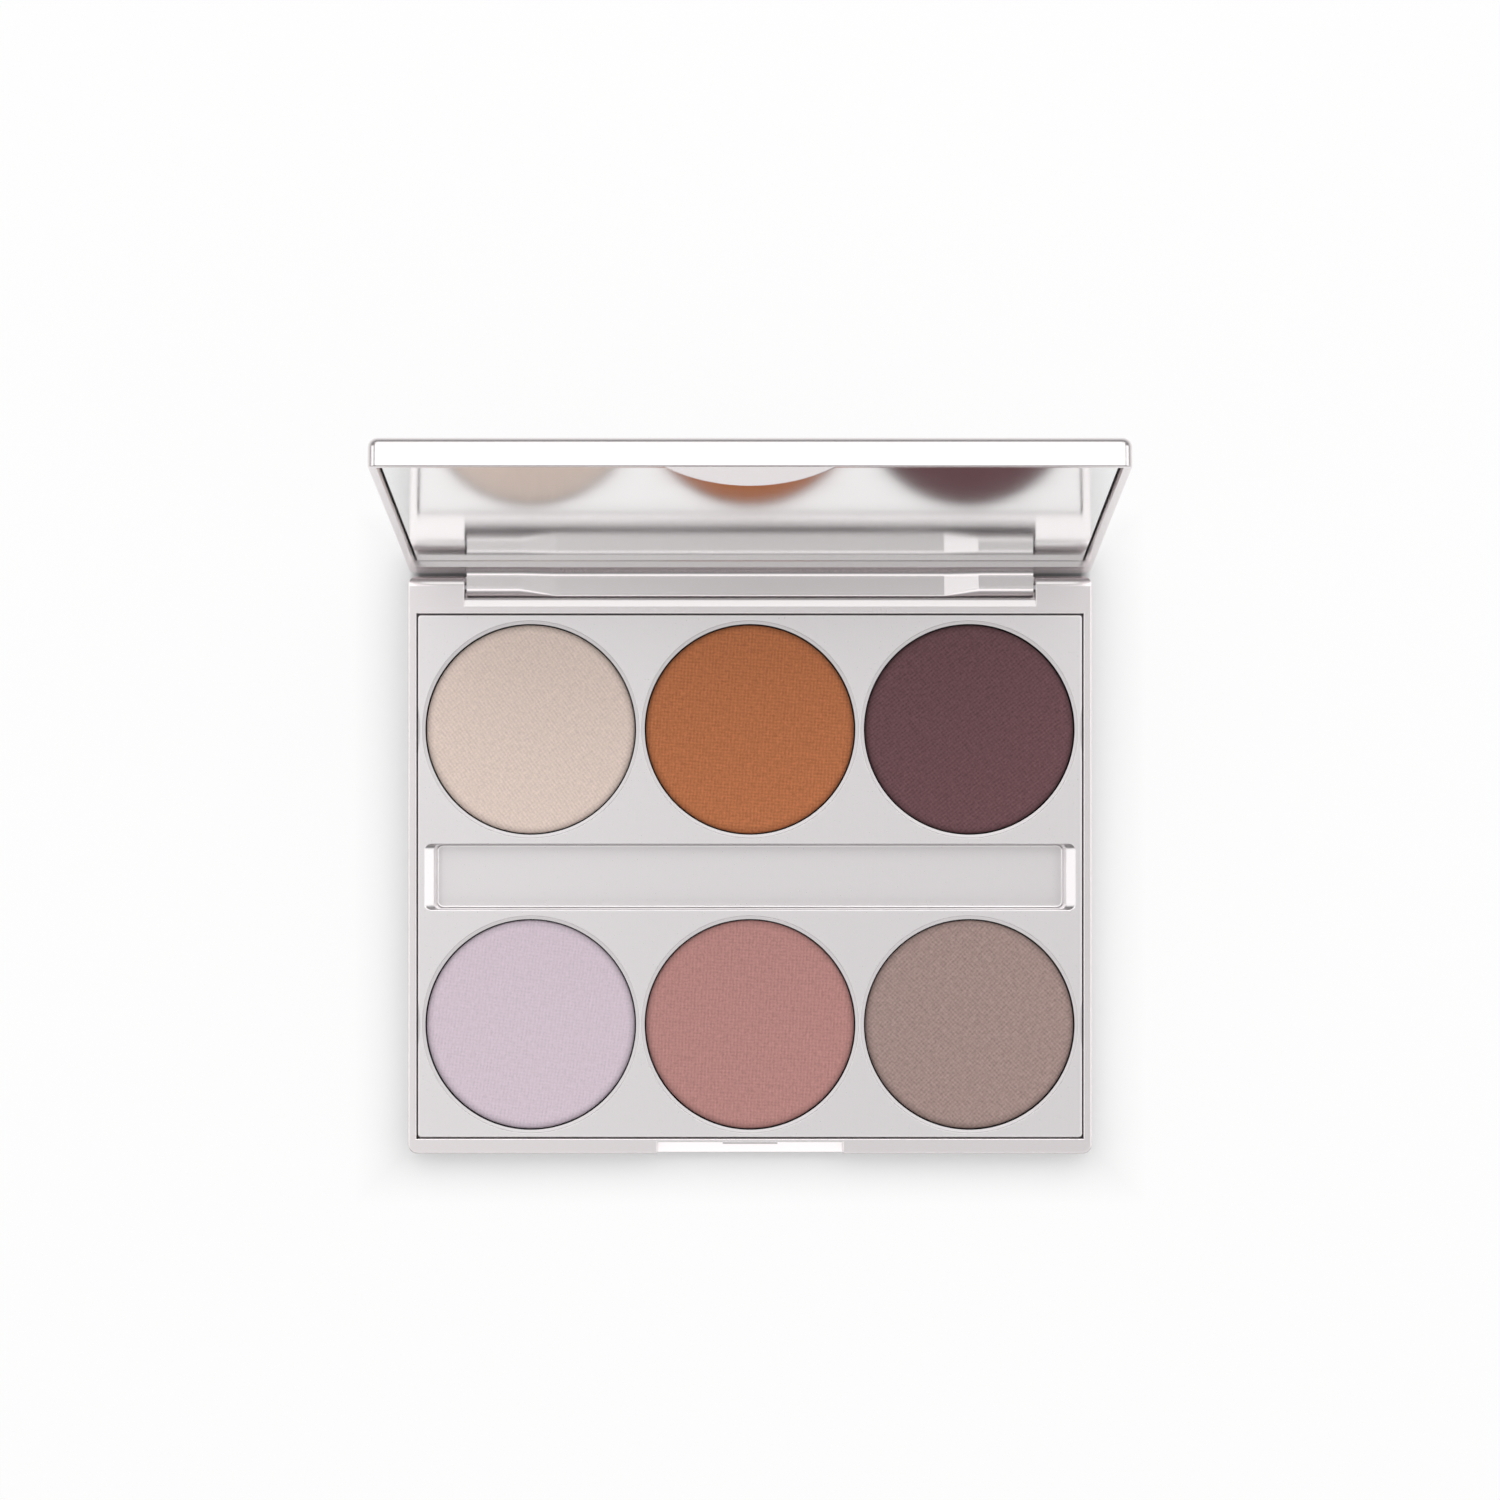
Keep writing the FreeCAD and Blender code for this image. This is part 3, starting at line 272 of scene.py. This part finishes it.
# Painted shade: inside the wall's radius the colour turns dark grey and stops being metal.
coat = add(tree, "ShaderNodeMix", {0: on_wall, 6: coat, 7: linear(WALL_PAINTED_SHADE)}, data_type="RGBA").outputs[2]
blur = shader.inputs["Roughness"].links[0].from_socket
blur = add(tree, "ShaderNodeMix", {0: on_ledge, 2: blur, 3: DRY_ROUGHNESS}).outputs[0]
metal = shader.inputs["Metallic"].default_value
metal = add(tree, "ShaderNodeMapRange", {"Value": on_wall, "To Min": metal, "To Max": 0.0}).outputs[0]
for socket, value in (("Base Color", coat), ("Roughness", blur), ("Metallic", metal)):
    tree.links.new(value, shader.inputs[socket])
print("wells", round(pitch / MM, 2), "mm apart, rows", round((back_left.y - front_left.y) / MM, 2), "mm apart")

# %% [markdown]
# The mirror is float glass, silvered on its back. Silver returns nearly all light, with a trace less red through the
# green of the glass. Cheap glass and a few fingers leave it slightly soft: what stands close to it, such as the
# hinge, is clear, and what is further off less so. Roughness does just that, and a slow noise makes it uneven.

# %% Mirror
glass = bpy.data.materials.new("float glass, silvered on the back")
glass.use_nodes = True
tree = glass.node_tree
place = add(tree, "ShaderNodeTexCoord").outputs["Object"]
mist = add(tree, "ShaderNodeTexNoise", {"Vector": place, "Scale": 1 / (15 * MM), "Detail": 2.0}).outputs["Fac"]
blur = {"Value": mist, "From Min": 0.3, "From Max": 0.7, "To Min": 0.085, "To Max": 0.105}
haze = add(tree, "ShaderNodeMapRange", blur)
shader = tree.nodes["Principled BSDF"]
tree.links.new(haze.outputs[0], shader.inputs["Roughness"])
shader.inputs["Base Color"].default_value = linear("#f6f8f7")
shader.inputs["Metallic"].default_value = 1.0
wear(glass, "mirror")
print("mirror", glass.name)

# %% [markdown]
# The powder is pressed into its pan under a cloth and stands a little proud, with a soft, slightly crumbled edge that
# hides the pan's rim. That edge is a shape and not a colour, so each cake is turned like a pot from a profile,
# and noise takes a few hundredths of a millimetre off its shoulder. It stays inside the CAD cake it stands for.

# %% Powder cakes
SHADES = ("cream", "amber", "plum", "lilac", "rose", "taupe")
TURNS = 180
EDGE_WIDTH, EDGE_DROP = 0.8 * MM, 0.3 * MM
BRIM_HEIGHT = 0.34 * MM
SKIN = 0.01 * MM
CRUMB, CRUMB_SIZE = 0.05 * MM, 0.7 * MM


def cake_profile(radius, foot, top):
    """Radius and height of the cake's outline from its middle over the edge to its underside."""
    flat = radius - EDGE_WIDTH
    bend = (EDGE_WIDTH ** 2 + EDGE_DROP ** 2) / (2 * EDGE_DROP)
    outline = [(flat * k / 8, top) for k in range(9)]
    for k in range(1, 11):
        out = EDGE_WIDTH * k / 10
        outline.append((flat + out, top - bend + math.sqrt(bend ** 2 - out ** 2)))
    under = top - BRIM_HEIGHT
    return outline + [(radius, under), (radius - 0.4 * MM, under), (radius - 0.4 * MM, under - 1 * MM), (0, foot)]


def turn_cake(name, node):
    """Closed cake, turned inside the box of a CAD node."""
    low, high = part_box(node)
    middle = (low + high) / 2
    outline = cake_profile((high.x - low.x) / 2 - SKIN, low.z + SKIN, high.z - SKIN)
    points, rings = [], []
    for r, z in outline:
        ring = []
        for k in range(TURNS if r else 1):
            angle = 2 * math.pi * k / TURNS
            spot = Vector((middle.x + r * math.cos(angle), middle.y + r * math.sin(angle), z))
            worn = max(0.0, (high.z - z) / EDGE_DROP) * CRUMB * abs(noise.noise(spot / CRUMB_SIZE))
            inwards = (r - worn) / r if r else 1.0
            spot.x = middle.x + (spot.x - middle.x) * inwards
            spot.y = middle.y + (spot.y - middle.y) * inwards
            ring.append(len(points))
            points.append(spot)
        rings.append(ring)
    faces = []
    for upper, lower in zip(rings, rings[1:]):
        for k in range(TURNS):
            around = (k + 1) % TURNS
            face = [upper[k % len(upper)], lower[k % len(lower)], lower[around % len(lower)], upper[around % len(upper)]]
            faces.append(list(dict.fromkeys(face)))
    mesh = bpy.data.meshes.new(name)
    mesh.from_pydata(points, [], faces)
    mesh.shade_smooth()
    made = bpy.data.objects.new(name, mesh)
    bpy.context.scene.collection.objects.link(made)
    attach(made, "base")
    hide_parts(node)
    return made


cakes = {shade: turn_cake("cake_" + shade, "powder_" + shade) for shade in SHADES}
print("cakes", len(cakes), "faces each", len(cakes["cream"].data.polygons))

# %% [markdown]
# Pressed eyeshadow is talc, mica and pigment: matt, with a nap of loose dust. The cloth under the press leaves its
# weave in the face, about two threads to a millimetre, which is also about as fine as a picture of the whole palette
# can show. Two sets of waves make the threads, noise drawn out along them breaks them into strokes, and finer
# noise leaves pits. The pattern goes into bumps, and into the colour as painted light and painted shade: lighter
# and darker copies of the powder's colour. Every pan has its cloth laid at its own angle. Towards its rim the
# colour is painted darker, a painted shade of the cake's sloping shoulder.

# %% Powder finish
THREAD, STROKE, DUST = 0.5 * MM, 0.3 * MM, 0.25 * MM
STROKE_STRETCH, DUST_SHARE = 0.35, 1.3
WAVE_STEP = 2 * math.pi / 20
RIM_SHADE_FROM, RIM_SHADE_TO, RIM_PAINTED_SHADE = 1.0 * MM, 0.45 * MM, 0.13
# Colour, angle of the cloth in degrees, how strongly the second set of threads shows, and how strongly the weave
# is painted as light and shade in the colour
CLOTHS = {
    "cream": ("#e5d1c6", -36, 0.5, 0.125),
    "amber": ("#bb7249", 4, 0.9, 0.22),
    "plum": ("#6d4c50", 52, 0.6, 0.28),
    "lilac": ("#d4c4cf", 8, 0.6, 0.10),
    "rose": ("#b78580", 3, 0.6, 0.175),
    "taupe": ("#a38b85", 45, 1.0, 0.23),
}


def pressed(name, node, colour, angle, cross, weave_painted_shade):
    """Matt powder in the place of a CAD node, with a cloth's weave pressed into it and painted as light and shade in
    its colour.
    """
    low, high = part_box(node)
    radius = (high.x - low.x) / 2
    made = bpy.data.materials.new(name)
    made.use_nodes = True
    tree = made.node_tree
    place = add(tree, "ShaderNodeTexCoord").outputs["Object"]
    laid = add(tree, "ShaderNodeMapping", {"Vector": place, "Rotation": (0, 0, math.radians(angle))}).outputs[0]
    thread = {"Vector": laid, "Scale": WAVE_STEP / THREAD, "Distortion": 1.5, "Detail": 1.0, "Detail Scale": 0.6}
    face = add(tree, "ShaderNodeTexNoise", {"Vector": place, "Scale": 1 / DUST, "Detail": 2.0}).outputs["Fac"]
    face = add(tree, "ShaderNodeMath", {0: face, 1: DUST_SHARE}, operation="MULTIPLY").outputs[0]
    for bands, stretch, share in (("X", (1, STROKE_STRETCH, 1), 1.0), ("Y", (STROKE_STRETCH, 1, 1), cross)):
        wave = add(tree, "ShaderNodeTexWave", thread, bands_direction=bands).outputs["Fac"]
        drawn = add(tree, "ShaderNodeMapping", {"Vector": laid, "Scale": stretch}).outputs[0]
        stroke = add(tree, "ShaderNodeTexNoise", {"Vector": drawn, "Scale": 1 / STROKE, "Detail": 1.0}).outputs["Fac"]
        thread_set = add(tree, "ShaderNodeMath", {0: wave, 1: 0.3, 2: stroke}, operation="MULTIPLY_ADD").outputs[0]
        face = add(tree, "ShaderNodeMath", {0: thread_set, 1: share, 2: face}, operation="MULTIPLY_ADD").outputs[0]
    middle, spread = 0.5 * DUST_SHARE + 0.65 * (1 + cross), 0.2 * DUST_SHARE + 0.15 * (1 + cross)
    tone = {"Value": face, "From Min": middle - spread, "From Max": middle + spread}
    tone = add(tree, "ShaderNodeMapRange", tone).outputs[0]
    # Painted shade and painted light of the weave: darker and lighter copies of the powder's colour.
    dark = [(1 - weave_painted_shade) * c for c in linear(colour)[:3]] + [1.0]
    light = [(1 + weave_painted_shade) * c for c in linear(colour)[:3]] + [1.0]
    tint = add(tree, "ShaderNodeMix", {0: tone, 6: dark, 7: light}, data_type="RGBA")
    # Painted shade: the colour darkens over the last millimetre before the cake's rim, where its shoulder slopes away.
    off = add(tree, "ShaderNodeVectorMath", {0: place, 1: (low + high) / 2}, operation="SUBTRACT").outputs[0]
    off = add(tree, "ShaderNodeVectorMath", {0: off, 1: (1, 1, 0)}, operation="MULTIPLY").outputs[0]
    off = add(tree, "ShaderNodeVectorMath", {0: off}, operation="LENGTH").outputs["Value"]
    rim_painted_shade = {"Value": off, "From Min": radius - RIM_SHADE_FROM, "From Max": radius - RIM_SHADE_TO}
    rim_painted_shade = add(tree, "ShaderNodeMapRange", {**rim_painted_shade, "To Min": 1.0, "To Max": 1 - RIM_PAINTED_SHADE}).outputs[0]
    tint = add(tree, "ShaderNodeVectorMath", {0: tint.outputs[2], "Scale": rim_painted_shade}, operation="SCALE")
    imprint = add(tree, "ShaderNodeBump", {"Height": face, "Strength": 0.5, "Distance": 0.03 * MM})
    shader = tree.nodes["Principled BSDF"]
    tree.links.new(tint.outputs[0], shader.inputs["Base Color"])
    tree.links.new(imprint.outputs[0], shader.inputs["Normal"])
    shader.inputs["Roughness"].default_value = 0.85
    shader.inputs["Specular IOR Level"].default_value = 0.3
    return made


for shade, (colour, *cloth) in CLOTHS.items():
    powder = pressed("talc and mica, pressed under cloth, " + shade, "powder_" + shade, colour, *cloth)
    cakes[shade].data.materials.append(powder)
print("powders", list(CLOTHS))

# %% [markdown]
# Each pan is drawn from tinned sheet in one stroke of a press, and the die leaves fine upright scratches, so the noise
# is squeezed across and stretched along the wall's height. A brush leaves loose powder behind, and most of it
# ends in the gap around the cake. It clings to the pan's rim, so that no bright tin shows there, only a dark
# line in the powder's own hue. Lower down, in the well, the tin stays bare.

# %% Pans
DUST_DEPTH, BARE_DEPTH = 1.5 * MM, 2.5 * MM


def dusted_tin(name, node, colour):
    """Drawn tinplate under a coat of powder that ends a little below the rim."""
    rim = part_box(node)[1].z
    made = bpy.data.materials.new(name)
    made.use_nodes = True
    tree = made.node_tree
    place = add(tree, "ShaderNodeTexCoord").outputs["Object"]
    drawn = add(tree, "ShaderNodeMapping", {"Vector": place, "Scale": (4, 4, 0.3)}).outputs[0]
    scratch = {"Vector": drawn, "Scale": 1 / (1.0 * MM), "Detail": 3.0}
    scratch = add(tree, "ShaderNodeTexNoise", scratch).outputs["Fac"]
    blur = add(tree, "ShaderNodeMapRange", {"Value": scratch, "To Min": 0.18, "To Max": 0.4}).outputs[0]
    tint = {0: scratch, 6: linear("#c9c8c5"), 7: linear("#dedddb")}
    tint = add(tree, "ShaderNodeMix", tint, data_type="RGBA").outputs[2]
    height = add(tree, "ShaderNodeSeparateXYZ", {0: place}).outputs["Z"]
    dust = {"Value": height, "From Min": rim - BARE_DEPTH, "From Max": rim - DUST_DEPTH}
    dust = add(tree, "ShaderNodeMapRange", dust).outputs[0]
    tint = add(tree, "ShaderNodeMix", {0: dust, 6: tint, 7: linear(colour)}, data_type="RGBA").outputs[2]
    blur = add(tree, "ShaderNodeMix", {0: dust, 2: blur, 3: 0.85}).outputs[0]
    metal = add(tree, "ShaderNodeMapRange", {"Value": dust, "To Min": 1.0, "To Max": 0.0}).outputs[0]
    shader = tree.nodes["Principled BSDF"]
    for socket, value in (("Base Color", tint), ("Roughness", blur), ("Metallic", metal)):
        tree.links.new(value, shader.inputs[socket])
    return made


for shade, (colour, *cloth) in CLOTHS.items():
    wear(dusted_tin("tinplate, deep drawn, dusted with " + shade, "pan_" + shade, colour), "pan_" + shade)
print("tin pans", len(CLOTHS))

# %% [markdown]
# Three things stay out of sight until the palette is taken apart: the hinge pins, cut from drawn steel wire, the foam
# tape behind the mirror and the glue under the pans. Wire has lines along its length, foam has cells,
# and hot glue is smooth with a little cloud in it.

# %% Pins, tape and glue
HIDDEN = {
    "steel wire, drawn": ("#b4b4b6", "#cfcfd1", (0.05, 1, 1), 0.15 * MM, 0.28, 1.0),
    "polyethylene foam tape, closed cells": ("#dcdcd8", "#f2f2ee", (1, 1, 1), 0.4 * MM, 0.9, 0.0),
    "hot-melt glue, cast in dots": ("#d9d0b4", "#e8e2cc", (1, 1, 1), 1.5 * MM, 0.35, 0.0),
}
WEARERS = (("hinge_pin_left", "hinge_pin_right"), ("mirror_tape",), ("pan_adhesive",))
for (name, (dark, light, stretch, size, rough, metal)), wearers in zip(HIDDEN.items(), WEARERS):
    made = bpy.data.materials.new(name)
    made.use_nodes = True
    tree = made.node_tree
    place = add(tree, "ShaderNodeTexCoord").outputs["Object"]
    drawn = add(tree, "ShaderNodeMapping", {"Vector": place, "Scale": stretch}).outputs[0]
    grain = add(tree, "ShaderNodeTexNoise", {"Vector": drawn, "Scale": 1 / size, "Detail": 2.0}).outputs["Fac"]
    tint = add(tree, "ShaderNodeMix", {0: grain, 6: linear(dark), 7: linear(light)}, data_type="RGBA")
    shader = tree.nodes["Principled BSDF"]
    tree.links.new(tint.outputs[2], shader.inputs["Base Color"])
    shader.inputs["Roughness"].default_value = rough
    shader.inputs["Metallic"].default_value = metal
    wear(made, *wearers)
print("hidden pieces", WEARERS)
